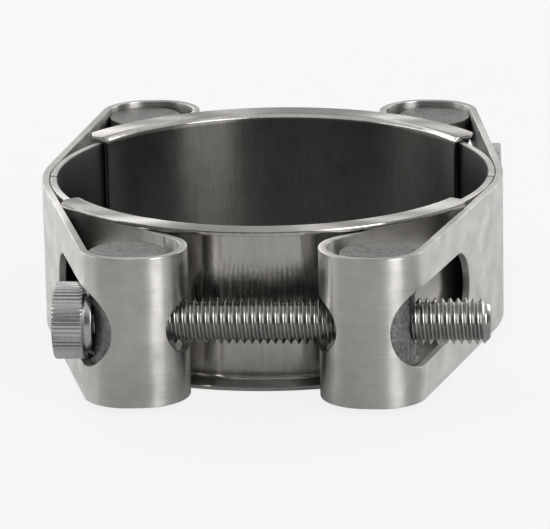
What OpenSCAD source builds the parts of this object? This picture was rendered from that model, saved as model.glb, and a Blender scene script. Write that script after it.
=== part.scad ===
// Double bolt hose clamp with trunnion barrels, in millimetres.
// Two folded steel bands close round a hose when two socket screws are turned.
// The ring axis is Z and passes through the origin at half the band width.
// The screws lie along X: one in front of the ring, one behind it.

/* [Hose seat] */
// Diameter of the hose that the bridges bear on
hose_d = 57; // [54:0.5:59]

/* [Bands] */
// Width of the band strip
band_w = 20; // [19:0.5:24]
// Thickness of the band strip
band_t = 1; // [0.8:0.1:1.2]
// Gap between the two layers of a folded band
fold_gap = 0.1; // [0.05:0.05:0.3]
// Slit between the two ends of one strip, inside the fold
end_slit = 0.6; // [0.4:0.2:2]
// Angle by which each band stands open towards the back screw
splay = 3.7; // [0:0.1:4]

/* [Loops] */
// Distance of a barrel from the plane between the two bands, bands straight
barrel_x = 18.5; // [17.5:0.1:21]
// Distance of a barrel from the hose face towards the screw, bands straight
barrel_gap = 6.4; // [5.6:0.1:8]
// Play between a barrel and the loop that holds it
loop_play = 0.1; // [0.05:0.05:0.2]
// How much further the nose of a loop reaches than its barrel
nose_reach = 1.6; // [0.6:0.1:2.4]

/* [Slots] */
// Height of the slot in the nose of a loop
nose_slot_h = 7; // [6.6:0.1:8]
// Length of the nose slot across the strip's run
nose_slot_l = 10.4; // [9:0.1:11]
// Height of the slot in the outer side of a loop
side_slot_h = 10.6; // [10.4:0.1:12]
// Length of the side slot along the straight of the leg
side_slot_l = 19.5; // [14:0.5:22]
// Angle of the bend that the side slot takes up
side_slot_wrap = 59; // [50:1:68]

/* [Barrels] */
// Diameter of a barrel
barrel_d = 10.2; // [9.6:0.1:11]
// Length of a barrel
barrel_l = 18.4; // [16:0.1:19.6]
// Chamfer on the ends of a barrel
barrel_chamfer = 0.25; // [0.1:0.05:0.5]
// Depth of the flat that a screw head seats on
head_flat = 0.7; // [0.3:0.05:1]
// Diameter of the flat that a screw head seats on
head_flat_d = 10.6; // [10.4:0.1:11]
// Depth of the spot face where a screw comes out
exit_flat = 0.6; // [0.4:0.05:0.9]
// Diameter of the spot face where a screw comes out
exit_flat_d = 9; // [8:0.1:10]
// Countersink at the mouth of a threaded hole
exit_chamfer = 0.5; // [0.2:0.1:0.8]

/* [Screws] */
// Thread diameter of a screw
screw_d = 6; // [5.8:0.1:6.2]
// Length of a screw under its collar
screw_l = 51.1; // [48:0.1:60]
// Diameter of a screw head
head_d = 10; // [9.6:0.1:10.4]
// Height of the knurled part of a screw head
head_h = 4; // [3.5:0.1:6]
// Diameter of the plain collar under a screw head
collar_d = 8.2; // [7.6:0.1:9]
// Height of the plain collar under a screw head
collar_h = 1.1; // [0.5:0.1:1.5]
// Size of the hexagon socket across its flats
hex_af = 5; // [4:0.5:5]
// Depth of the hexagon socket
hex_depth = 2.2; // [1.5:0.1:3]
// Chamfer on the rim of a screw head
head_chamfer = 0.35; // [0.2:0.05:0.6]
// Chamfer on the point of a screw
point_chamfer = 0.8; // [0.4:0.1:1]
// Radial clearance of a screw in a barrel
screw_clear = 0.05; // [0.03:0.01:0.1]
// Space between a seated collar and its flat
head_space = 0.05; // [0.03:0.01:0.1]

/* [Bridges] */
// Thickness of the bridge sheet
bridge_t = 0.6; // [0.5:0.1:0.8]
// Angle from the middle of a bridge to its end
bridge_half_angle = 58; // [50:1:62]
// Width of a flange, measured from the hose face
flange_w = 3.9; // [3:0.1:4.2]
// Inner radius of the bend between web and flange
bend_r = 0.5; // [0.4:0.05:0.6]
// Radial space between a bridge and a band
seat_gap = 0.15; // [0.15:0.05:0.3]
// Space between a flange and the edge of a band
flange_gap = 0.2; // [0.2:0.05:0.4]
// Size of the clipped corner of a flange
corner_clip = 1.2; // [0.5:0.1:2]

/* [Hidden] */
$fn = 96;
eps = 0.01;

// Straight stretches of strip reach into the bends and are a hair thinner
lap = 0.1;
hair = 0.005;

// Radii of the ring, from the hose outwards
hose_r = hose_d / 2;
leg_in_r = hose_r + bridge_t + seat_gap;
leg_out_r = leg_in_r + band_t + fold_gap;
flange_r = hose_r + flange_w;

// Barrel, its cross hole, and the inner face of the loop round it
barrel_r = barrel_d / 2;
hole_r = screw_d / 2 + screw_clear;
loop_r = barrel_r + loop_play;
nose_x = barrel_x - nose_reach;
barrel_y = hose_r + barrel_gap;

// Angles are measured at the ring axis from -X towards -Y.
// The outer leg is the outer tangent of the ring and the barrel bend.
barrel_dist = norm([barrel_x, barrel_y]);
barrel_angle = atan2(barrel_y, barrel_x);
outer_angle = barrel_angle - acos((leg_out_r - loop_r) / barrel_dist);
outer_run = sqrt(pow(barrel_dist, 2) - pow(leg_out_r - loop_r, 2));

// The inner leg is the cross tangent of the ring and the nose bend
nose_dist = norm([nose_x, barrel_y]);
nose_angle = atan2(barrel_y, nose_x);
inner_sum = leg_in_r + band_t + loop_r;
inner_angle = nose_angle - acos(inner_sum / nose_dist);
inner_run = sqrt(pow(nose_dist, 2) - pow(inner_sum, 2));
slit_angle = asin(end_slit / 2 / leg_in_r);

// Barrel places once the bands stand open by the splay angle
front_x = barrel_x * cos(splay) - barrel_y * sin(splay);
front_y = -barrel_y * cos(splay) - barrel_x * sin(splay);
back_x = barrel_x * cos(splay) + barrel_y * sin(splay);
back_y = barrel_y * cos(splay) - barrel_x * sin(splay);

// Heights of the bridge section
flange_z = band_w / 2 + flange_gap;
web_z = flange_z - bend_r;

// Bend of the strip about the origin from +X; its children start at its end
module bend(r_in, turn) {
    reach = 2 * (r_in + band_t);
    intersection() {
        difference() {
            circle(r = r_in + band_t);
            circle(r = r_in);
        }
        polygon([[0, 0], for (i = [0:4]) reach * [cos(turn * i / 4), sin(turn * i / 4)]]);
    }
    rotate(turn)
        children();
}

// Straight stretch of strip along +Y; its children start at its end
module straight(r_in, run) {
    translate([r_in + hair, -lap])
        square([band_t - 2 * hair, run + 2 * lap]);
    translate([0, run])
        children();
}

// Outer leg of the front loop, straight from the ring to the barrel
module outer_leg() {
    rotate(180 + outer_angle)
        straight(leg_out_r, outer_run)
            translate([leg_out_r - loop_r, 0])
                children();
}

// Front loop: round the barrel, over the nose and back
module loop_bend() {
    bend(loop_r, 90 - outer_angle)
        straight(loop_r, nose_reach)
            bend(loop_r, 90 + inner_angle)
                children();
}

// Inner leg of the front loop: straight to the ring, then along it to the slit
module inner_leg() {
    straight(loop_r, inner_run)
        translate([inner_sum, 0])
            mirror([1, 0])
                bend(leg_in_r, inner_angle - slit_angle);
}

// Edge view of one strip, round the side of the ring with a loop at each end
module strip_outline() {
    rotate(180 - outer_angle)
        bend(leg_out_r, 2 * outer_angle);
    for (side = [0, 1])
        mirror([0, side])
            outer_leg()
                loop_bend()
                    inner_leg();
}

// Slot with round ends in the YZ plane, from y0 to y1, cut along +X
module slot_cut(y0, y1, h, depth) {
    translate([0, y0 + h / 2, 0])
        rotate([0, 90, 0])
            cylinder(d = h, h = depth);
    translate([0, y1 - h / 2, 0])
        rotate([0, 90, 0])
            cylinder(d = h, h = depth);
    translate([0, y0 + h / 2, -h / 2])
        cube([depth, y1 - y0 - h, h]);
}

// Slot in the nose of the front loop
module nose_slot() {
    translate([-barrel_x, -barrel_y, 0])
        slot_cut(-nose_slot_l / 2, nose_slot_l / 2, nose_slot_h, 4 * loop_r);
}

// Slot in the outer leg, which runs on round the bend at the barrel.
// One cut goes along the straight and one across the middle of the bend.
module side_slot() {
    cut = loop_r + 3 * band_t;
    bend_axis = outer_angle + side_slot_wrap / 2;
    bend_end = (loop_r + band_t) * sin(side_slot_wrap / 2);
    translate([-barrel_x, -barrel_y, 0]) {
        rotate([0, 0, 180 + outer_angle])
            translate([loop_r / 2, 0, 0])
                slot_cut(-side_slot_l, side_slot_h / 2, side_slot_h, cut);
        rotate([0, 0, 180 + bend_axis])
            slot_cut(bend_end - 1.5 * side_slot_h, bend_end, side_slot_h, cut);
    }
}

// One band: the folded strip with a pair of slots in each loop
module band() {
    rotate([0, 0, splay])
        difference() {
            linear_extrude(height = band_w, center = true)
                strip_outline();
            for (side = [0, 1])
                mirror([0, side, 0]) {
                    nose_slot();
                    side_slot();
                }
        }
}

module left_band() {
    color("lightgray")
        band();
}

module right_band() {
    color("gainsboro")
        mirror([1, 0, 0])
            band();
}

// Barrel blank with chamfered ends, standing along Z
module barrel_blank() {
    half = barrel_l / 2;
    rotate_extrude()
        polygon([[0, -half], [barrel_r - barrel_chamfer, -half],
                 [barrel_r, barrel_chamfer - half], [barrel_r, half - barrel_chamfer],
                 [barrel_r - barrel_chamfer, half], [0, half]]);
}

// Cross hole of a barrel with a spot face of depth flat on its -X side
module barrel_cuts(flat, flat_d) {
    rotate([0, 90, 0])
        cylinder(r = hole_r, h = 2 * barrel_d, center = true);
    translate([-barrel_r - band_t, 0, 0])
        rotate([0, 90, 0])
            cylinder(d = flat_d, h = flat + band_t);
}

// Barrel with a plain hole: the screw collar seats on its flat
module plain_barrel() {
    difference() {
        barrel_blank();
        barrel_cuts(head_flat, head_flat_d);
    }
}

// Barrel with the thread: the screw point comes out at its spot face
module threaded_barrel() {
    cone_h = exit_chamfer + eps;
    difference() {
        barrel_blank();
        barrel_cuts(exit_flat, exit_flat_d);
        translate([exit_flat - barrel_r - eps, 0, 0])
            rotate([0, 90, 0])
                cylinder(r1 = hole_r + cone_h, r2 = hole_r, h = cone_h);
    }
}

module front_left_barrel() {
    color("silver")
        translate([-front_x, front_y, 0])
            plain_barrel();
}

module front_right_barrel() {
    color("darkgray")
        translate([front_x, front_y, 0])
            mirror([1, 0, 0])
                threaded_barrel();
}

module back_left_barrel() {
    color("darkgray")
        translate([-back_x, back_y, 0])
            threaded_barrel();
}

module back_right_barrel() {
    color("silver")
        translate([back_x, back_y, 0])
            mirror([1, 0, 0])
                plain_barrel();
}

// Socket screw along +X, with the seat of its collar at the origin
module screw() {
    screw_r = screw_d / 2;
    head_r = head_d / 2;
    rim_r = head_r - head_chamfer;
    top = -collar_h - head_h;
    difference() {
        rotate([0, 90, 0])
            rotate_extrude()
                polygon([[0, top], [rim_r, top],
                         [head_r, top + head_chamfer], [head_r, -collar_h - head_chamfer],
                         [rim_r, -collar_h], [collar_d / 2, -collar_h],
                         [collar_d / 2, 0], [screw_r, 0],
                         [screw_r, screw_l - point_chamfer],
                         [screw_r - point_chamfer, screw_l], [0, screw_l]]);
        translate([top - eps, 0, 0])
            rotate([0, 90, 0])
                cylinder(d = hex_af / cos(30), h = hex_depth + eps, $fn = 6);
        translate([top + hex_depth - eps, 0, 0])
            rotate([0, 90, 0])
                cylinder(d1 = hex_af, d2 = 0, h = hex_af / 4);
    }
}

module front_screw() {
    color("whitesmoke")
        translate([-front_x - barrel_r + head_flat - head_space, front_y, 0])
            screw();
}

module back_screw() {
    color("whitesmoke")
        translate([back_x + barrel_r - head_flat + head_space, back_y, 0])
            mirror([1, 0, 0])
                screw();
}

// Bend and flange at the upper edge of the bridge section
module flange_section() {
    bend_x = hose_r + bridge_t + bend_r;
    translate([bend_x, web_z])
        intersection() {
            difference() {
                circle(r = bend_r + bridge_t);
                circle(r = bend_r);
            }
            translate([-bend_r - bridge_t, 0])
                square(bend_r + bridge_t);
        }
    translate([bend_x, flange_z])
        square([flange_r - bend_x, bridge_t]);
}

// Section of a bridge in the plane of radius and height
module bridge_section() {
    translate([hose_r, -web_z])
        square([bridge_t, 2 * web_z]);
    flange_section();
    mirror([0, 1])
        flange_section();
}

// Curved bridge across the gap in front, with flanges over both band edges
module bridge() {
    clip = corner_clip * sqrt(2);
    difference() {
        rotate([0, 0, -90 - bridge_half_angle])
            rotate_extrude(angle = 2 * bridge_half_angle)
                bridge_section();
        for (side = [-1, 1])
            rotate([0, 0, -90 + side * bridge_half_angle])
                translate([flange_r, 0, 0])
                    rotate([0, 0, 45])
                        cube([clip, clip, 2 * band_w], center = true);
    }
}

module front_bridge() {
    color("gray")
        bridge();
}

module back_bridge() {
    color("gray")
        mirror([0, 1, 0])
            bridge();
}

left_band();
right_band();
front_left_barrel();
front_right_barrel();
back_left_barrel();
back_right_barrel();
front_screw();
back_screw();
front_bridge();
back_bridge();
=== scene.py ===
import math

import bpy
import numpy as np
from mathutils import Matrix, Vector


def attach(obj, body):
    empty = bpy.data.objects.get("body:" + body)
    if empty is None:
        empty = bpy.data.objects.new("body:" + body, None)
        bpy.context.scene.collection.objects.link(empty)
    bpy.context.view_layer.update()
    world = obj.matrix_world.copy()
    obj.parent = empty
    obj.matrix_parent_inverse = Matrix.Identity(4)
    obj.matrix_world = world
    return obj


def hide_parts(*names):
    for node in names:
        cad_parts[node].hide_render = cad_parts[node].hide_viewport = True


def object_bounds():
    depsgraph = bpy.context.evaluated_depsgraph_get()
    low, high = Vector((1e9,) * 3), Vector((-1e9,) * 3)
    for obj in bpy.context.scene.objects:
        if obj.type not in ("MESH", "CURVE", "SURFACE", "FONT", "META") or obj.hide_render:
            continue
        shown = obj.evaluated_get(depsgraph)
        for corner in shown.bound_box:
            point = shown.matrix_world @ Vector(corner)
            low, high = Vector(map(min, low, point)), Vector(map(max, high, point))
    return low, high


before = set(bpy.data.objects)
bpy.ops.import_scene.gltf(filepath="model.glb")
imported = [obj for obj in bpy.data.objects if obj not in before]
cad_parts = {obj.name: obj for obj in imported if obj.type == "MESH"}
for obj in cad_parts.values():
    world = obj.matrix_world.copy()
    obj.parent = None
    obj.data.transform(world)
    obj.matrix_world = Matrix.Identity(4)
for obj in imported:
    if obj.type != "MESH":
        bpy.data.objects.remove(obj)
cad_low, cad_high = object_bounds()
mm = 0.001

# Bands
# Each band is one stainless strip, punched flat with four slots.
# It is folded round two barrels and brought back inside itself, so that its
# two ends meet at a slit in the side of the ring.
STRIP_WIDTH = 20 * mm
STRIP_THICKNESS = 1 * mm
SPLAY = math.radians(3.7)
BARREL_X, BARREL_Y = 18.5 * mm, 34.9 * mm
LOOP_RADIUS = 5.7 * mm
OUTER_RADIUS, INNER_RADIUS = 30.85 * mm, 29.75 * mm
NOSE_REACH = 1.6 * mm
SLIT = 0.6 * mm
SIDE_SLOT_START, SIDE_SLOT_HEIGHT = 19.5 * mm, 10.6 * mm
SIDE_SLOT_WRAP = LOOP_RADIUS * math.radians(59)
NOSE_SLOT_REACH, NOSE_SLOT_HEIGHT = 5.6 * mm, 7 * mm
TIGHT_CREASE, WIDE_CREASE = 0.45 * mm, 1 * mm


def strip_stretches():
    """Stretches of half a strip, from the side of the ring to the slit.

    Each has its radius, 0 for a straight one, its length and the side it turns to.
    """
    to_barrel = math.hypot(BARREL_X, BARREL_Y)
    outer_lift = OUTER_RADIUS - LOOP_RADIUS
    outer_turn = math.atan2(BARREL_Y, BARREL_X) - math.acos(outer_lift / to_barrel)
    outer_run = math.sqrt(to_barrel**2 - outer_lift**2)
    nose_x = BARREL_X - NOSE_REACH
    to_nose = math.hypot(nose_x, BARREL_Y)
    inner_lift = INNER_RADIUS + LOOP_RADIUS
    inner_turn = math.atan2(BARREL_Y, nose_x) - math.acos(inner_lift / to_nose)
    inner_run = math.sqrt(to_nose**2 - inner_lift**2)
    return [
        (OUTER_RADIUS, OUTER_RADIUS * outer_turn, 1),
        (0, outer_run, 0),
        (LOOP_RADIUS, LOOP_RADIUS * (math.pi / 2 - outer_turn), 1),
        (0, NOSE_REACH, 0),
        (LOOP_RADIUS, LOOP_RADIUS * (math.pi / 2 + inner_turn), 1),
        (0, inner_run, 0),
        (INNER_RADIUS, INNER_RADIUS * inner_turn - SLIT / 2, -1),
    ]


def bend_strip(blank, stretches):
    """Bends the flat blank: X and Y become the folded line and its thickness, and Z stays."""
    flat = np.array([v.co for v in blank.data.vertices])
    side = np.where(flat[:, 0] < 0, -1.0, 1.0)
    along = np.abs(flat[:, 0])
    placed = np.zeros((len(flat), 2))
    start, heading, begin = np.array([-OUTER_RADIUS, 0.0]), -math.pi / 2, 0.0
    for number, (radius, length, turn) in enumerate(stretches):
        last = number == len(stretches) - 1
        here = (along >= begin) & ((along < begin + length) | last)
        run = along - begin
        left = np.array([-math.sin(heading), math.cos(heading)])
        if radius:
            centre = start + turn * radius * left
            angle = heading + turn * run / radius
            normal = np.stack([-np.sin(angle), np.cos(angle)], 1)
            line = centre - turn * radius * normal
            end_angle = heading + turn * length / radius
            end = centre - turn * radius * np.array([-math.sin(end_angle), math.cos(end_angle)])
        else:
            travel = np.array([math.cos(heading), math.sin(heading)])
            normal = np.tile(left, (len(flat), 1))
            line = start + run[:, None] * travel
            end_angle, end = heading, start + length * travel
        bent = line + flat[:, 1:2] * normal
        placed[here] = bent[here]
        start, heading, begin = end, end_angle, begin + length
    placed[:, 1] *= side
    x = placed[:, 0] * math.cos(SPLAY) - placed[:, 1] * math.sin(SPLAY)
    y = placed[:, 0] * math.sin(SPLAY) + placed[:, 1] * math.cos(SPLAY)
    points = np.stack([x, y, flat[:, 2]], 1).astype(np.float32)
    blank.data.vertices.foreach_set("co", points.ravel())
    blank.data.update()


def select_only(*pieces):
    bpy.ops.object.select_all(action="DESELECT")
    for piece in pieces:
        piece.select_set(True)
    bpy.context.view_layer.objects.active = pieces[0]


def settle():
    """Makes the new piece's place and turn part of its mesh, and gives the piece back."""
    bpy.ops.object.transform_apply(location=True, rotation=True, scale=True)
    return bpy.context.object


def cut_away(piece, cutter):
    """Cuts the cutter out of the piece and throws the cutter away."""
    select_only(piece)
    cut = piece.modifiers.new("cut", "BOOLEAN")
    cut.operation, cut.solver, cut.object = "DIFFERENCE", "EXACT", cutter
    bpy.ops.object.modifier_apply(modifier=cut.name)
    bpy.data.objects.remove(cutter)


def round_edges(piece, width, angle):
    """Rounds the sharp edges of the piece, as deburring does."""
    select_only(piece)
    bpy.ops.object.mode_set(mode="EDIT")
    bpy.ops.mesh.select_all(action="SELECT")
    bpy.ops.mesh.remove_doubles(threshold=0.02 * mm)
    bpy.ops.object.mode_set(mode="OBJECT")
    bevel = piece.modifiers.new("rounding", "BEVEL")
    bevel.width, bevel.segments, bevel.limit_method = width, 2, "ANGLE"
    bevel.angle_limit, bevel.use_clamp_overlap = math.radians(angle), False
    bpy.ops.object.modifier_apply(modifier=bevel.name)


def smooth_faces(piece, angle):
    """Shades bends smooth and keeps flats flat."""
    select_only(piece)
    bpy.ops.object.shade_smooth_by_angle(angle=math.radians(angle))
    weigh = piece.modifiers.new("even shading", "WEIGHTED_NORMAL")
    weigh.keep_sharp = True
    bpy.ops.object.modifier_apply(modifier=weigh.name)


GRAIN_LOW, GRAIN_HIGH, GRAIN_DETAIL = 0.2, 0.8, 3
MOTTLE_SCALE = 300


def steel_group():
    """Streaks of rolling or turning and a soft mottle.

    They vary a steel's colour, its roughness and its height in mm.
    """
    group = bpy.data.node_groups.new("steel_grain", "ShaderNodeTree")
    sockets = (
        ("Streaks", "Vector"), ("Place", "Vector"), ("Light", "Color"), ("Dark", "Color"),
        ("Smoothest", "Float"), ("Roughest", "Float"), ("Mottle", "Float"),
        ("Streak Depth", "Float"), ("Wave Depth", "Float"),
    )
    for name, kind in sockets:
        group.interface.new_socket(name, in_out="INPUT", socket_type="NodeSocket" + kind)
    for name, kind in (("Colour", "Color"), ("Roughness", "Float"), ("Height", "Float")):
        group.interface.new_socket(name, in_out="OUTPUT", socket_type="NodeSocket" + kind)
    nodes, link = group.nodes, group.links.new
    given, put = nodes.new("NodeGroupInput"), nodes.new("NodeGroupOutput")
    levels = []
    for source, scale in (("Streaks", 1), ("Place", MOTTLE_SCALE)):
        noise, level = nodes.new("ShaderNodeTexNoise"), nodes.new("ShaderNodeMapRange")
        noise.inputs["Scale"].default_value = scale
        noise.inputs["Detail"].default_value = GRAIN_DETAIL
        level.clamp = False
        level.inputs["From Min"].default_value = GRAIN_LOW
        level.inputs["From Max"].default_value = GRAIN_HIGH
        link(given.outputs[source], noise.inputs["Vector"])
        link(noise.outputs["Fac"], level.inputs["Value"])
        levels.append(level.outputs["Result"])
    both = nodes.new("ShaderNodeMix")
    link(given.outputs["Mottle"], both.inputs["Factor"])
    link(levels[0], both.inputs["A"])
    link(levels[1], both.inputs["B"])
    tone = nodes.new("ShaderNodeMix")
    tone.data_type = "RGBA"
    link(both.outputs["Result"], tone.inputs["Factor"])
    link(given.outputs["Dark"], tone.inputs[6])
    link(given.outputs["Light"], tone.inputs[7])
    rough = nodes.new("ShaderNodeMix")
    link(both.outputs["Result"], rough.inputs["Factor"])
    link(given.outputs["Smoothest"], rough.inputs["A"])
    link(given.outputs["Roughest"], rough.inputs["B"])
    fine, total = nodes.new("ShaderNodeMath"), nodes.new("ShaderNodeMath")
    fine.operation, total.operation = "MULTIPLY", "MULTIPLY_ADD"
    link(levels[0], fine.inputs[0])
    link(given.outputs["Streak Depth"], fine.inputs[1])
    link(levels[1], total.inputs[0])
    link(given.outputs["Wave Depth"], total.inputs[1])
    link(fine.outputs["Value"], total.inputs[2])
    link(tone.outputs[2], put.inputs["Colour"])
    link(rough.outputs["Result"], put.inputs["Roughness"])
    link(total.outputs["Value"], put.inputs["Height"])
    return group


steel_grain = steel_group()


def steel(name, light, dark, roughness, mottle, streaks, streak_depth, wave_depth):
    """A bare steel with its two tones, its roughness range and its share of mottle.

    The streaks have a scale along X, Y and Z. The depths of streaks and waves are in mm.
    """
    metal = bpy.data.materials.new(name)
    metal.use_nodes = True
    nodes, link = metal.node_tree.nodes, metal.node_tree.links.new
    shader = nodes["Principled BSDF"]
    shader.inputs["Metallic"].default_value = 1
    place = nodes.new("ShaderNodeTexCoord")
    mapping = nodes.new("ShaderNodeMapping")
    mapping.inputs["Scale"].default_value = streaks
    link(place.outputs["Object"], mapping.inputs["Vector"])
    grain = nodes.new("ShaderNodeGroup")
    grain.node_tree = steel_grain
    link(mapping.outputs["Vector"], grain.inputs["Streaks"])
    link(place.outputs["Object"], grain.inputs["Place"])
    grain.inputs["Light"].default_value = light
    grain.inputs["Dark"].default_value = dark
    grain.inputs["Smoothest"].default_value, grain.inputs["Roughest"].default_value = roughness
    grain.inputs["Mottle"].default_value = mottle
    grain.inputs["Streak Depth"].default_value = streak_depth
    grain.inputs["Wave Depth"].default_value = wave_depth
    bump = nodes.new("ShaderNodeBump")
    bump.inputs["Strength"].default_value = 1
    bump.inputs["Distance"].default_value = mm
    link(grain.outputs["Height"], bump.inputs["Height"])
    link(grain.outputs["Colour"], shader.inputs["Base Color"])
    link(grain.outputs["Roughness"], shader.inputs["Roughness"])
    link(bump.outputs["Normal"], shader.inputs["Normal"])
    return metal


# Where faces turned up or down begin and are full in the mask of painted shade.
SHADE_LEVEL_FROM, SHADE_LEVEL_FULL = 0.75, 0.97


def face_group():
    """Two masks for painted shade, one for faces within the given radius and one for faces turned up or
    down.
    """
    group = bpy.data.node_groups.new("kind_of_face", "ShaderNodeTree")
    for name, kind in (("Place", "Vector"), ("Facing", "Vector"), ("Radius", "Float")):
        group.interface.new_socket(name, in_out="INPUT", socket_type="NodeSocket" + kind)
    for name in ("Hose", "Edge"):
        group.interface.new_socket(name, in_out="OUTPUT", socket_type="NodeSocketFloat")
    nodes, link = group.nodes, group.links.new
    given, put = nodes.new("NodeGroupInput"), nodes.new("NodeGroupOutput")
    level = nodes.new("ShaderNodeVectorMath")
    level.operation = "MULTIPLY"
    level.inputs[1].default_value = (1, 1, 0)
    reach = nodes.new("ShaderNodeVectorMath")
    reach.operation = "LENGTH"
    within = nodes.new("ShaderNodeMath")
    within.operation = "LESS_THAN"
    link(given.outputs["Place"], level.inputs[0])
    link(level.outputs["Vector"], reach.inputs[0])
    link(reach.outputs["Value"], within.inputs[0])
    link(given.outputs["Radius"], within.inputs[1])
    link(within.outputs["Value"], put.inputs["Hose"])
    # Faces turned up or down, which get painted shade where this mask is used.
    upright, slope = nodes.new("ShaderNodeSeparateXYZ"), nodes.new("ShaderNodeMath")
    slope.operation = "ABSOLUTE"
    edge = nodes.new("ShaderNodeMapRange")
    edge.inputs["From Min"].default_value = SHADE_LEVEL_FROM
    edge.inputs["From Max"].default_value = SHADE_LEVEL_FULL
    link(given.outputs["Facing"], upright.inputs["Vector"])
    link(upright.outputs["Z"], slope.inputs[0])
    link(slope.outputs["Value"], edge.inputs["Value"])
    link(edge.outputs["Result"], put.inputs["Edge"])
    return group


kind_of_face = face_group()


def treat_faces(metal, mask, colour, roughness, radius=0):
    """Darkens and dulls the faces inside the given radius, or the faces turned up or down, such as the
    sheared edges and turned ends. The darkening is painted shade: inside the ring it stands in for the
    shadowed interior, and on level faces it tones down the lamps' reflection.
    """
    nodes, link = metal.node_tree.nodes, metal.node_tree.links.new
    shader = nodes["Principled BSDF"]
    place, surface = nodes.new("ShaderNodeTexCoord"), nodes.new("ShaderNodeNewGeometry")
    faces = nodes.new("ShaderNodeGroup")
    faces.node_tree = kind_of_face
    faces.inputs["Radius"].default_value = radius
    link(place.outputs["Object"], faces.inputs["Place"])
    link(surface.outputs["Normal"], faces.inputs["Facing"])
    # Painted shade: the colour of the mask's faces is multiplied by the given colour.
    painted_shade = nodes.new("ShaderNodeMix")
    painted_shade.data_type, painted_shade.blend_type = "RGBA", "MULTIPLY"
    painted_shade.inputs[7].default_value = colour
    link(faces.outputs[mask], painted_shade.inputs["Factor"])
    link(shader.inputs["Base Color"].links[0].from_socket, painted_shade.inputs[6])
    link(painted_shade.outputs[2], shader.inputs["Base Color"])
    dull = nodes.new("ShaderNodeMix")
    dull.inputs["B"].default_value = roughness
    link(faces.outputs[mask], dull.inputs["Factor"])
    link(shader.inputs["Roughness"].links[0].from_socket, dull.inputs["A"])
    link(dull.outputs["Result"], shader.inputs["Roughness"])


def draw_out(metal, stretch):
    """Stretches the shine of a rolled or drawn steel across its grain."""
    nodes, link = metal.node_tree.nodes, metal.node_tree.links.new
    shader = nodes["Principled BSDF"]
    shader.inputs["Anisotropic"].default_value = stretch
    shader.inputs["Anisotropic Rotation"].default_value = 0.25
    around = nodes.new("ShaderNodeTangent")
    around.direction_type, around.axis = "RADIAL", "Z"
    link(around.outputs["Tangent"], shader.inputs["Tangent"])


def finish_piece(piece, name, metal, body, node):
    """Names the piece, gives it its metal unless it has one, and lets it stand for its solid."""
    piece.name = piece.data.name = name
    if metal:
        piece.data.materials.clear()
        piece.data.materials.append(metal)
    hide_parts(node)
    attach(piece, body)


stretches = strip_stretches()
half_length = sum(length for _, length, _ in stretches)
bpy.ops.mesh.primitive_cube_add(size=1, scale=(2 * half_length, STRIP_THICKNESS, STRIP_WIDTH))
left_band = settle()
bpy.ops.object.mode_set(mode="EDIT")
begin = 0.0
for radius, length, _ in stretches:
    if radius:
        widest = TIGHT_CREASE if radius == LOOP_RADIUS else WIDE_CREASE
        steps = max(2, math.ceil(length / widest))
        crease = [begin + length * i / steps for i in range(steps + 1)]
    else:
        crease = [begin + length / 2]
    for place in crease:
        for side in (-1, 1):
            bpy.ops.mesh.select_all(action="SELECT")
            bpy.ops.mesh.bisect(plane_co=(side * place, 0, 0), plane_no=(1, 0, 0))
    begin += length
bpy.ops.object.mode_set(mode="OBJECT")

barrel_from = stretches[0][1] + stretches[1][1]
nose_tip = sum(length for _, length, _ in stretches[:4]) + LOOP_RADIUS * math.pi / 2
slot_spans = [
    (barrel_from - SIDE_SLOT_START, barrel_from + SIDE_SLOT_WRAP, SIDE_SLOT_HEIGHT),
    (nose_tip - NOSE_SLOT_REACH, nose_tip + NOSE_SLOT_REACH, NOSE_SLOT_HEIGHT),
]
# Each slot is punched with a round punch that is drawn out to the slot's length.
for low, high, height in slot_spans:
    for side in (-1, 1):
        first = min(side * low, side * high) + height / 2
        bpy.ops.mesh.primitive_cylinder_add(
            vertices=54, radius=height / 2, depth=4 * mm,
            location=(first, 0, 0), rotation=(math.pi / 2, 0, 0),
        )
        punch = settle()
        for vertex in punch.data.vertices:
            if vertex.co.x > first:
                vertex.co.x += high - low - height
        cut_away(left_band, punch)
round_edges(left_band, width=0.14 * mm, angle=50)
bend_strip(left_band, stretches)
smooth_faces(left_band, angle=32)

right_band = left_band.copy()
right_band.data = left_band.data.copy()
bpy.context.scene.collection.objects.link(right_band)
for vertex in right_band.data.vertices:
    vertex.co.x = -vertex.co.x
select_only(right_band)
bpy.ops.object.mode_set(mode="EDIT")
bpy.ops.mesh.select_all(action="SELECT")
bpy.ops.mesh.flip_normals()
bpy.ops.object.mode_set(mode="OBJECT")
smooth_faces(right_band, angle=32)

strip_steel = steel(
    "satin_strip_steel", light=(0.71, 0.695, 0.67, 1), dark=(0.45, 0.437, 0.417, 1),
    roughness=(0.24, 0.42), mottle=0.7, streaks=(200, 200, 2400), streak_depth=0.0008, wave_depth=0.018,
)
draw_out(strip_steel, stretch=0.8)
# Painted shade: the band's faces inside the ring are darkened, standing in for the dark interior, and
# dulled.
treat_faces(
    strip_steel, "Hose", colour=(0.18, 0.18, 0.18, 1), roughness=0.34, radius=INNER_RADIUS - 0.35 * mm
)
# Painted shade: the band's faces turned up or down, its sheared edges, are darkened to tone down the
# lamps' reflection, and dulled.
treat_faces(strip_steel, "Edge", colour=(0.78, 0.78, 0.78, 1), roughness=0.5)
finish_piece(left_band, "left_band_strip", strip_steel, "left_half", "left_band")
finish_piece(right_band, "right_band_strip", strip_steel, "right_half", "right_band")

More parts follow.
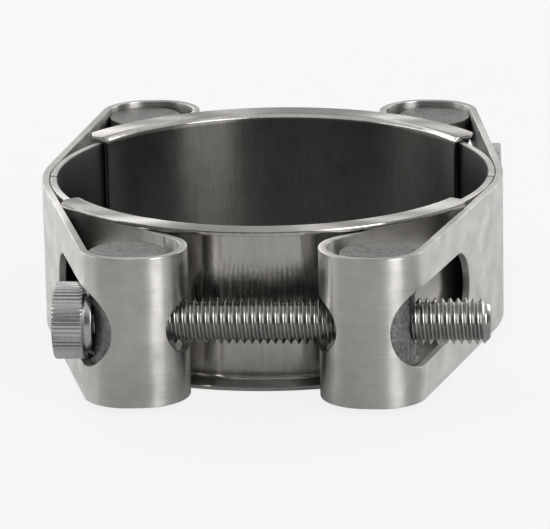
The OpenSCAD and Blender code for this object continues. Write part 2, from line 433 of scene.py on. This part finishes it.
# Barrels
# Each loop holds a turned steel barrel with a cross hole for the screw.
# The screw's head sits on the flat of a plain barrel, and its thread works in
# the barrel across from it, where it comes out at a spot face.
BARREL_RADIUS, BARREL_LENGTH = 5.1 * mm, 18.4 * mm
FLAT_DEPTH, FLAT_RADIUS = 0.7 * mm, 5.3 * mm
SPOT_DEPTH, SPOT_RADIUS = 0.6 * mm, 4.5 * mm
HOLE_RADIUS = 3.05 * mm
FRONT_X = BARREL_X * math.cos(SPLAY) - BARREL_Y * math.sin(SPLAY)
FRONT_Y = -BARREL_Y * math.cos(SPLAY) - BARREL_X * math.sin(SPLAY)
BACK_X = BARREL_X * math.cos(SPLAY) + BARREL_Y * math.sin(SPLAY)
BACK_Y = BARREL_Y * math.cos(SPLAY) - BARREL_X * math.sin(SPLAY)


def turn_barrel(flat_depth, flat_radius):
    """A barrel on the Z axis, with its flat or spot face on the -X side."""
    bpy.ops.mesh.primitive_cylinder_add(vertices=96, radius=BARREL_RADIUS, depth=BARREL_LENGTH)
    barrel = settle()
    # The cross hole, and then the flat or spot face.
    bpy.ops.mesh.primitive_cylinder_add(
        vertices=64, radius=HOLE_RADIUS, depth=14 * mm, rotation=(0, math.pi / 2, 0)
    )
    cut_away(barrel, settle())
    bpy.ops.mesh.primitive_cylinder_add(
        vertices=96, radius=flat_radius, depth=4 * mm,
        location=(flat_depth - BARREL_RADIUS - 2 * mm, 0, 0), rotation=(0, math.pi / 2, 0),
    )
    cut_away(barrel, settle())
    round_edges(barrel, width=0.16 * mm, angle=32)
    return barrel


def place_copy(pattern, x, y, flip, angle):
    """A copy of the pattern at its place, turned half round where flip is -1, with smooth faces."""
    placed = pattern.copy()
    placed.data = pattern.data.copy()
    bpy.context.scene.collection.objects.link(placed)
    for vertex in placed.data.vertices:
        vertex.co = Vector((flip * vertex.co.x + x, flip * vertex.co.y + y, vertex.co.z))
    smooth_faces(placed, angle)
    return placed


barrel_steel = steel(
    "turned_barrel_steel", light=(0.38, 0.372, 0.358, 1), dark=(0.05, 0.049, 0.047, 1),
    roughness=(0.20, 0.52), mottle=0.35, streaks=(2200, 2200, 2200), streak_depth=0.035, wave_depth=0.03,
)
# Painted shade: the barrel's turned ends are darkened a little to tone down the lamps' reflection, and
# dulled.
treat_faces(barrel_steel, "Edge", colour=(0.9, 0.9, 0.9, 1), roughness=0.55)
plain_barrel = turn_barrel(FLAT_DEPTH, FLAT_RADIUS)
tapped_barrel = turn_barrel(SPOT_DEPTH, SPOT_RADIUS)
for name, pattern, x, y, flip, body in (
    ("front_left", plain_barrel, -FRONT_X, FRONT_Y, 1, "left_half"),
    ("front_right", tapped_barrel, FRONT_X, FRONT_Y, -1, "right_half"),
    ("back_left", tapped_barrel, -BACK_X, BACK_Y, 1, "left_half"),
    ("back_right", plain_barrel, BACK_X, BACK_Y, -1, "right_half"),
):
    placed = place_copy(pattern, x, y, flip, angle=32)
    finish_piece(placed, name + "_turned_barrel", barrel_steel, body, name + "_barrel")
bpy.data.objects.remove(plain_barrel)
bpy.data.objects.remove(tapped_barrel)

# Screws
# Two steel socket screws, set opposite ways, draw the bands together.
# The thread is M6 and rolled nearly up to the collar under the head, which is
# straight-knurled and has a hexagon socket for a 5 mm key.
SCREW_LENGTH, PITCH = 51.1 * mm, 1 * mm
CREST_RADIUS, ROOT_RADIUS, THREAD_SOFTENING = 3.0 * mm, 2.42 * mm, 0.05 * mm
RUNOUT_LENGTH, RUNOUT_RADIUS = 0.9 * mm, 2.7 * mm
TURNS, STEPS_IN_A_TURN = 54, 36
INTO_COLLAR, SAME_POINT = 0.21 * mm, 0.002 * mm
HEAD_RADIUS, HEAD_HEIGHT = 5 * mm, 4 * mm
COLLAR_RADIUS, COLLAR_HEIGHT = 4.1 * mm, 1.1 * mm
SEAT_GAP = 0.05 * mm
HEAD_TOP = -COLLAR_HEIGHT - HEAD_HEIGHT
KNURLS, KNURL_DEPTH = 55, 0.16 * mm
HALF_KEY = 2.5 * mm
POINT = 0.8 * mm

# The thread's profile, as shares of the pitch and radii, is wound along X and
# cut to length. Its ends are closed, and then the point and runout are shaped.
flanks = [
    (0, ROOT_RADIUS), (0.06, ROOT_RADIUS), (0.14, ROOT_RADIUS + THREAD_SOFTENING),
    (0.42, CREST_RADIUS - THREAD_SOFTENING), (0.46, CREST_RADIUS), (0.56, CREST_RADIUS),
    (0.60, CREST_RADIUS - THREAD_SOFTENING), (0.88, ROOT_RADIUS + THREAD_SOFTENING), (1, ROOT_RADIUS),
]
bpy.ops.mesh.primitive_plane_add(size=1 * mm)
thread = bpy.context.object
bpy.ops.object.mode_set(mode="EDIT")
bpy.ops.mesh.select_mode(type="VERT")
bpy.ops.mesh.select_all(action="DESELECT")
bpy.ops.object.mode_set(mode="OBJECT")
for vertex in thread.data.vertices:
    vertex.select = vertex.co.y > 0
bpy.ops.object.mode_set(mode="EDIT")
bpy.ops.mesh.delete(type="VERT")
bpy.ops.mesh.select_all(action="SELECT")
bpy.ops.mesh.subdivide(number_cuts=len(flanks) - 2)
bpy.ops.object.mode_set(mode="OBJECT")
for vertex, (share, radius) in zip(sorted(thread.data.vertices, key=lambda v: v.co.x), flanks):
    vertex.co = Vector(((share - 1.5) * PITCH, 0, radius))
rolling = thread.modifiers.new("thread", "SCREW")
rolling.axis, rolling.screw_offset, rolling.iterations = "X", PITCH, TURNS
rolling.steps = rolling.render_steps = STEPS_IN_A_TURN
rolling.use_merge_vertices, rolling.merge_threshold = True, SAME_POINT
select_only(thread)
bpy.ops.object.modifier_apply(modifier=rolling.name)
bpy.ops.object.mode_set(mode="EDIT")
bpy.ops.mesh.select_all(action="SELECT")
bpy.ops.mesh.remove_doubles(threshold=SAME_POINT)
bpy.ops.mesh.bisect(plane_co=(-INTO_COLLAR, 0, 0), plane_no=(1, 0, 0), clear_inner=True)
bpy.ops.mesh.select_all(action="SELECT")
bpy.ops.mesh.bisect(plane_co=(SCREW_LENGTH, 0, 0), plane_no=(1, 0, 0), clear_outer=True)
bpy.ops.mesh.select_all(action="SELECT")
bpy.ops.mesh.fill_holes(sides=0)
bpy.ops.mesh.select_all(action="SELECT")
bpy.ops.mesh.normals_make_consistent(inside=False)
bpy.ops.object.mode_set(mode="OBJECT")
for vertex in thread.data.vertices:
    radius = math.hypot(vertex.co.y, vertex.co.z)
    most = CREST_RADIUS - max(0, vertex.co.x - (SCREW_LENGTH - POINT))
    least = RUNOUT_RADIUS if vertex.co.x < RUNOUT_LENGTH else 0
    wanted = max(min(radius, most), least)
    vertex.co.y *= wanted / radius
    vertex.co.z *= wanted / radius

# The head has a rounded rim, and two of every four points round it go inwards
# as the knurls. The cuts are the hexagon, its chamfer and the drill's cone.
bpy.ops.mesh.primitive_cylinder_add(
    vertices=4 * KNURLS, radius=HEAD_RADIUS, depth=HEAD_HEIGHT,
    location=(HEAD_TOP + HEAD_HEIGHT / 2, 0, 0), rotation=(0, math.pi / 2, 0),
)
head = settle()
bpy.ops.object.mode_set(mode="EDIT")
bpy.ops.mesh.select_mode(type="EDGE")
bpy.ops.mesh.select_all(action="DESELECT")
bpy.ops.object.mode_set(mode="OBJECT")
for edge in head.data.edges:
    ends = [head.data.vertices[i].co.x for i in edge.vertices]
    edge.select = abs(ends[0] - ends[1]) < 0.1 * mm
bpy.ops.object.mode_set(mode="EDIT")
bpy.ops.mesh.bevel(offset=0.35 * mm, segments=2, profile=0.6)
bpy.ops.object.mode_set(mode="OBJECT")
for vertex in head.data.vertices:
    radius = math.hypot(vertex.co.y, vertex.co.z)
    angle = math.atan2(vertex.co.z, vertex.co.y) / (2 * math.pi) * 4 * KNURLS
    if radius > HEAD_RADIUS - 0.02 * mm and round(angle) % 4 in (0, 1):
        vertex.co.y *= 1 - KNURL_DEPTH / radius
        vertex.co.z *= 1 - KNURL_DEPTH / radius
bpy.ops.mesh.primitive_cylinder_add(
    vertices=6, radius=HALF_KEY / math.cos(math.pi / 6), depth=4.4 * mm,
    location=(HEAD_TOP, 0, 0), rotation=(0, math.pi / 2, 0),
)
cut_away(head, settle())
bpy.ops.mesh.primitive_cone_add(
    vertices=48, radius1=3.1 * mm, radius2=0, depth=1.2 * mm,
    location=(HEAD_TOP + 0.5 * mm, 0, 0), rotation=(0, math.pi / 2, 0),
)
cut_away(head, settle())
bpy.ops.mesh.primitive_cone_add(
    vertices=48, radius1=2.45 * mm, radius2=0, depth=1.3 * mm,
    location=(HEAD_TOP + 2.8 * mm, 0, 0), rotation=(0, math.pi / 2, 0),
)
cut_away(head, settle())
bpy.ops.mesh.primitive_cylinder_add(
    vertices=96, radius=COLLAR_RADIUS, depth=COLLAR_HEIGHT + 0.2 * mm,
    location=(-COLLAR_HEIGHT / 2 - 0.1 * mm, 0, 0), rotation=(0, math.pi / 2, 0),
)
collar = settle()
round_edges(collar, width=0.15 * mm, angle=50)

head_steel = steel(
    "knurled_head_steel", light=(0.60, 0.595, 0.58, 1), dark=(0.42, 0.415, 0.41, 1),
    roughness=(0.18, 0.32), mottle=0.5, streaks=(1500, 1500, 1500), streak_depth=0.002, wave_depth=0,
)
thread_steel = steel(
    "rolled_thread_steel", light=(0.46, 0.455, 0.44, 1), dark=(0.28, 0.275, 0.265, 1),
    roughness=(0.18, 0.30), mottle=0.5, streaks=(1500, 1500, 1500), streak_depth=0.002, wave_depth=0,
)
thread.data.materials.append(thread_steel)
for part in (head, collar):
    part.data.materials.clear()
    part.data.materials.append(head_steel)
select_only(thread, head, collar)
bpy.ops.object.join()
screw = bpy.context.object
seat = BARREL_RADIUS - FLAT_DEPTH + SEAT_GAP
for name, x, y, flip in (
    ("front", -FRONT_X - seat, FRONT_Y, 1),
    ("back", BACK_X + seat, BACK_Y, -1),
):
    placed = place_copy(screw, x, y, flip, angle=28)
    body, node = name + "_screw_body", name + "_screw"
    finish_piece(placed, name + "_socket_screw", None, body, node)
bpy.data.objects.remove(screw)

# Bridges
# Two curved plates of thin sheet cross the gaps between the bands and bear on the hose.
# A flange along each edge holds a plate over the edges of the bands.
HOSE_RADIUS, BRIDGE_SHEET = 28.5 * mm, 0.6 * mm
HALF_WEB, FOLD_RADIUS, FLANGE = 9.7 * mm, 0.8 * mm, 2.8 * mm
HALF_ANGLE, ROLL_RADIUS = math.radians(58), 30 * mm
HALF_BLANK = HALF_WEB + FOLD_RADIUS * math.pi / 2 + FLANGE
ROLL_STEPS, FOLD_STEPS = 39, 8


def fold_bridge(blank, side):
    """Rolls the flat blank round the ring and folds its long edges outwards into flanges."""
    flat = np.array([v.co for v in blank.data.vertices])
    web = HOSE_RADIUS + BRIDGE_SHEET / 2
    across, up = np.abs(flat[:, 2]), np.sign(flat[:, 2])
    fold = np.clip((across - HALF_WEB) / FOLD_RADIUS, 0, math.pi / 2)
    flange = np.maximum(across - HALF_WEB - FOLD_RADIUS * math.pi / 2, 0)
    radius = web + FOLD_RADIUS * (1 - np.cos(fold)) + flange + flat[:, 1] * np.cos(fold)
    height = np.minimum(across, HALF_WEB) + (FOLD_RADIUS - flat[:, 1]) * np.sin(fold)
    angle = flat[:, 0] / ROLL_RADIUS
    points = np.stack([side * radius * np.sin(angle), side * radius * np.cos(angle), up * height], 1)
    blank.data.vertices.foreach_set("co", points.astype(np.float32).ravel())
    blank.data.update()


def press_bridge(side):
    """A bridge in front of the ring where side is -1, behind it where it is 1."""
    half_length = HALF_ANGLE * ROLL_RADIUS
    bpy.ops.mesh.primitive_cube_add(size=1, scale=(2 * half_length, BRIDGE_SHEET, 2 * HALF_BLANK))
    bridge = settle()
    bpy.ops.object.mode_set(mode="EDIT")
    bpy.ops.mesh.select_mode(type="EDGE")
    bpy.ops.mesh.select_all(action="DESELECT")
    bpy.ops.object.mode_set(mode="OBJECT")
    for edge in bridge.data.edges:
        ends = [bridge.data.vertices[i].co for i in edge.vertices]
        edge.select = abs(ends[0].y - ends[1].y) > BRIDGE_SHEET / 2
    # The corners are cut off, and the plate gets creases for the roll and the folds.
    bpy.ops.object.mode_set(mode="EDIT")
    bpy.ops.mesh.bevel(offset=1.2 * mm, segments=1)
    bpy.ops.object.mode_set(mode="OBJECT")
    round_edges(bridge, width=0.1 * mm, angle=60)
    bpy.ops.object.mode_set(mode="EDIT")
    for step in range(1 - ROLL_STEPS, ROLL_STEPS):
        bpy.ops.mesh.select_all(action="SELECT")
        bpy.ops.mesh.bisect(plane_co=(half_length * step / ROLL_STEPS, 0, 0), plane_no=(1, 0, 0))
    for step in range(FOLD_STEPS + 1):
        for level in (-1, 1):
            bpy.ops.mesh.select_all(action="SELECT")
            crease = HALF_WEB + FOLD_RADIUS * math.pi / 2 * step / FOLD_STEPS
            bpy.ops.mesh.bisect(plane_co=(0, 0, level * crease), plane_no=(0, 0, 1))
    bpy.ops.object.mode_set(mode="OBJECT")
    fold_bridge(bridge, side)
    smooth_faces(bridge, angle=32)
    return bridge


bridge_steel = steel(
    "bright_bridge_steel", light=(0.62, 0.605, 0.578, 1), dark=(0.36, 0.35, 0.33, 1),
    roughness=(0.07, 0.22), mottle=0.5, streaks=(2500, 2500, 250), streak_depth=0.003, wave_depth=0.02,
)
draw_out(bridge_steel, stretch=0.95)
# Painted shade: the bridge's face against the hose is darkened, standing in for the dark interior, and
# dulled.
treat_faces(
    bridge_steel, "Hose", colour=(0.22, 0.217, 0.213, 1), roughness=0.34, radius=HOSE_RADIUS + 0.15 * mm
)
# Painted shade: the bridge's faces turned up or down, its flanges, are darkened to tone down the lamps'
# reflection, and dulled.
treat_faces(bridge_steel, "Edge", colour=(0.78, 0.78, 0.78, 1), roughness=0.45)
for name, side in (("front", -1), ("back", 1)):
    bridge = press_bridge(side)
    body, node = name + "_bridge_body", name + "_bridge"
    finish_piece(bridge, name + "_bridge_plate", bridge_steel, body, node)

# Stage
# A pale floor under the clamp, soft lamps at both sides and behind, and the
# camera at the photograph's viewing angle. Floor and room look nearly white to
# the camera, while the metal mirrors only a part of that.
FLOOR_GAP = 0.1 * mm


def glow_share(tree, seen, mirrored):
    """How much of a glow a ray meets: one share for the camera's view, one for mirrored rays."""
    nodes, link = tree.nodes, tree.links.new
    ray = nodes.new("ShaderNodeLightPath")
    glossy, share = nodes.new("ShaderNodeMath"), nodes.new("ShaderNodeMath")
    glossy.operation, share.operation = "MULTIPLY", "MULTIPLY_ADD"
    glossy.inputs[1].default_value = mirrored
    share.inputs[1].default_value = seen
    link(ray.outputs["Is Glossy Ray"], glossy.inputs[0])
    link(ray.outputs["Is Camera Ray"], share.inputs[0])
    link(glossy.outputs["Value"], share.inputs[2])
    return share.outputs["Value"]


bpy.ops.mesh.primitive_plane_add(size=4, location=(0, 0, cad_low[2] - FLOOR_GAP))
floor = bpy.context.object
floor.name = "floor"
pale = bpy.data.materials.new("pale_floor")
pale.use_nodes = True
nodes, link = pale.node_tree.nodes, pale.node_tree.links.new
paint = nodes["Principled BSDF"]
paint.inputs["Base Color"].default_value = (0.41, 0.41, 0.41, 1)
paint.inputs["Roughness"].default_value = 0.7
glow = nodes.new("ShaderNodeEmission")
glow.inputs["Strength"].default_value = 1
blend = nodes.new("ShaderNodeMixShader")
link(glow_share(pale.node_tree, seen=0.85, mirrored=0.12), blend.inputs["Fac"])
link(paint.outputs["BSDF"], blend.inputs[1])
link(glow.outputs["Emission"], blend.inputs[2])
link(blend.outputs["Shader"], nodes["Material Output"].inputs["Surface"])
floor.data.materials.append(pale)

world = bpy.data.worlds.new("studio")
bpy.context.scene.world = world
world.use_nodes = True
nodes, link = world.node_tree.nodes, world.node_tree.links.new
nodes.clear()
out = nodes.new("ShaderNodeOutputWorld")
sight = nodes.new("ShaderNodeTexCoord")
split = nodes.new("ShaderNodeSeparateXYZ")
link(sight.outputs["Generated"], split.inputs["Vector"])
depth = nodes.new("ShaderNodeMapRange")
depth.inputs["From Min"].default_value, depth.inputs["From Max"].default_value = -1, 0.6
link(split.outputs["Y"], depth.inputs["Value"])
room = nodes.new("ShaderNodeValToRGB")
room.color_ramp.elements[0].color = (0.04, 0.04, 0.04, 1)
room.color_ramp.elements[1].color = (0.80, 0.80, 0.80, 1)
room.color_ramp.elements.new(0.65).color = (0.08, 0.08, 0.08, 1)
link(depth.outputs["Result"], room.inputs["Fac"])
height = nodes.new("ShaderNodeMapRange")
height.inputs["From Min"].default_value, height.inputs["From Max"].default_value = 0.4, 0.85
height.inputs["To Max"].default_value = 0.8
link(split.outputs["Z"], height.inputs["Value"])
ceiling = nodes.new("ShaderNodeMath")
ceiling.operation = "MAXIMUM"
link(room.outputs["Color"], ceiling.inputs[0])
link(height.outputs["Result"], ceiling.inputs[1])
soft = nodes.new("ShaderNodeBackground")
link(ceiling.outputs["Value"], soft.inputs["Color"])
white = nodes.new("ShaderNodeBackground")
white.inputs["Color"].default_value = (1, 1, 1, 1)
choose = nodes.new("ShaderNodeMixShader")
link(glow_share(world.node_tree, seen=1, mirrored=0.08), choose.inputs["Fac"])
link(soft.outputs["Background"], choose.inputs[1])
link(white.outputs["Background"], choose.inputs[2])
link(choose.outputs["Shader"], out.inputs["Surface"])

for name, place, size, power in (
    ("left_lamp", (-0.60, -0.04, 0.26), (0.34, 0.5), 0.85),
    ("rear_left_lamp", (-0.45, 0.42, 0.24), (0.5, 0.46), 2.6),
    ("right_lamp", (0.42, -0.46, 0.32), (0.36, 0.62), 3.4),
    ("rear_right_lamp", (0.45, 0.42, 0.24), (0.5, 0.46), 1.8),
):
    lamp = bpy.data.lights.new(name, "AREA")
    lamp.shape, lamp.size, lamp.size_y, lamp.energy = "RECTANGLE", size[0], size[1], power
    holder = bpy.data.objects.new(name, lamp)
    holder.location = place
    holder.rotation_euler = (-Vector(place)).to_track_quat("-Z", "Y").to_euler()
    bpy.context.scene.collection.objects.link(holder)

# Eye, aim and roll were fitted to the loops and flanges in the photograph.
camera = bpy.data.cameras.new("camera")
camera.lens, camera.sensor_width = 287, 36
camera.clip_start, camera.clip_end = 0.01, 20
viewer = bpy.data.objects.new("camera", camera)
eye = Vector((44.27, -574.44, 166.85)) * mm
aim = (Vector((0.6, -6.5, -1.2)) * mm - eye).normalized()
roll_up = Vector((-0.00509, 0.33113, 0.94357))
right = aim.cross(roll_up).normalized()
up = right.cross(aim)
viewer.location = eye
viewer.rotation_mode = "QUATERNION"
turned = [[right[i], up[i], -aim[i]] for i in range(3)]
viewer.rotation_quaternion = Matrix(turned).to_quaternion()
bpy.context.scene.collection.objects.link(viewer)
bpy.context.scene.camera = viewer
bpy.context.scene.view_settings.view_transform = "Standard"
